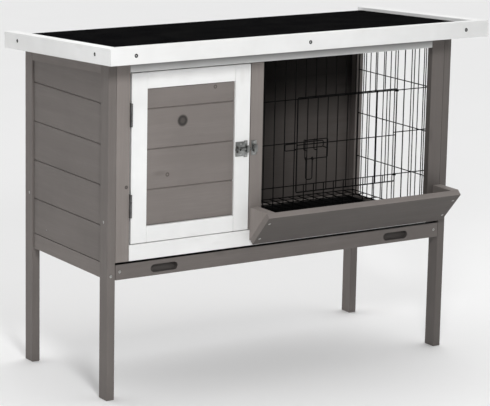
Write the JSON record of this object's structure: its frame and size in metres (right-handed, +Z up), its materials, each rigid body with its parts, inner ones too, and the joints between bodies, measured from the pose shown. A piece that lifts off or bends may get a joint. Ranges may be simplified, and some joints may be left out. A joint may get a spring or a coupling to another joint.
{
  "type": "rabbit hutch",
  "caption": "Outdoor rabbit hutch on legs with a sloping lift-up felt roof, boarded nest room, wire run, feeding trough and pull-out tray.",
  "frame": {"origin": "on the ground, at the middle of the bounding box's width and depth", "axes": "+X to the right seen from the front, +Y towards the back, +Z up"},
  "size_m": [0.92, 0.4442, 0.7285],
  "materials": {
    "grey_wood": "grey stained spruce, matt",
    "white_wood": "white painted spruce, satin",
    "inside_wood": "brown-grey stained plywood, matt",
    "roofing_felt": "mineral-surfaced bitumen felt",
    "black_wire": "black powder coat on welded wire",
    "black_iron": "black finished pressed steel",
    "zinc": "zinc plated steel",
    "black_tray": "black powder-coated sheet steel"
  },
  "bodies": {
    "hutch_frame": {"leg_front_left": "grey_wood", "leg_front_right": "grey_wood", "leg_back_left": "grey_wood", "leg_back_right": "grey_wood", "left_bottom_rail": "grey_wood", "left_top_rail": "grey_wood", "right_bottom_rail": "grey_wood", "right_top_rail": "grey_wood", "left_board_1": "grey_wood", "left_board_2": "grey_wood", "left_board_3": "grey_wood", "left_board_4": "grey_wood", "left_board_5": "grey_wood", "back_wall": "grey_wood", "back_bottom_rail": "grey_wood", "back_top_rail": "grey_wood", "stile_left": "grey_wood", "stile_right": "grey_wood", "stile_centre": "grey_wood", "trough_board": "grey_wood", "trough_cheek_left": "grey_wood", "trough_cheek_right": "grey_wood", "front_bottom_rail": "white_wood", "header_rail": "white_wood", "nest_floor": "inside_wood", "partition": "inside_wood", "front_wire_panel": "black_wire", "bolt_bearing": "black_wire", "side_wire_panel": "black_wire", "run_floor_mesh": "black_wire", "door_hinge_lower_fixed_leaf": "black_iron", "door_hinge_upper_fixed_leaf": "black_iron", "roof_hinge_left_fixed_leaf": "black_iron", "roof_hinge_right_fixed_leaf": "black_iron", "latch_keeper": "zinc"},
    "main_door": {"door_stile_hinge": "white_wood", "door_stile_latch": "white_wood", "door_rail_bottom": "white_wood", "door_rail_top": "white_wood", "door_board_1": "grey_wood", "door_board_2": "grey_wood", "door_board_3": "grey_wood", "door_board_4": "grey_wood", "latch_plate": "zinc", "door_hinge_lower_moving_leaf": "black_iron", "door_hinge_upper_moving_leaf": "black_iron"},
    "latch_bolt": {"latch_bolt": "zinc"},
    "wire_door": {"wire_door": "black_wire"},
    "wire_bolt": {"wire_bolt": "black_wire"},
    "wire_bolt_handle": {"wire_bolt_handle": "black_wire"},
    "tray": {"tray_front": "grey_wood", "tray_pan": "black_tray"},
    "roof": {"roof_deck": "inside_wood", "roof_felt": "roofing_felt", "fascia_front": "white_wood", "fascia_left": "white_wood", "fascia_right": "white_wood", "roof_hinge_left_moving_leaf": "black_iron", "roof_hinge_right_moving_leaf": "black_iron"}
  },
  "joints": [
    {"name": "main_door_hinge", "type": "hinge", "parent": "hutch_frame", "child": "main_door", "pos_m": [-0.36965, -0.14944, 0.491], "axis": [0, 0, -1], "range_deg": [0, 110]},
    {"name": "latch_bolt_slide", "type": "slide", "parent": "main_door", "child": "latch_bolt", "axis": [1, 0, 0], "range_m": [0, 0.012]},
    {"name": "wire_door_hinge", "type": "hinge", "parent": "hutch_frame", "child": "wire_door", "pos_m": [0.2897, -0.13373, 0.4814], "axis": [0, 0, 1], "range_deg": [0, 110]},
    {"name": "wire_bolt_slide", "type": "slide", "parent": "wire_door", "child": "wire_bolt", "axis": [-1, 0, 0], "range_m": [0, 0.018]},
    {"name": "wire_bolt_handle_swing", "type": "hinge", "parent": "wire_bolt", "child": "wire_bolt_handle", "pos_m": [0.063, -0.14053, 0.4515], "axis": [-1, 0, 0], "range_deg": [0, 120]},
    {"name": "tray_slide", "type": "slide", "parent": "hutch_frame", "child": "tray", "axis": [0, -1, 0], "range_m": [0, 0.3]},
    {"name": "roof_hinge", "type": "hinge", "parent": "hutch_frame", "child": "roof", "pos_m": [0, 0.20721, 0.67583], "axis": [-1, 0, 0], "range_deg": [0, 80]}
  ]
}
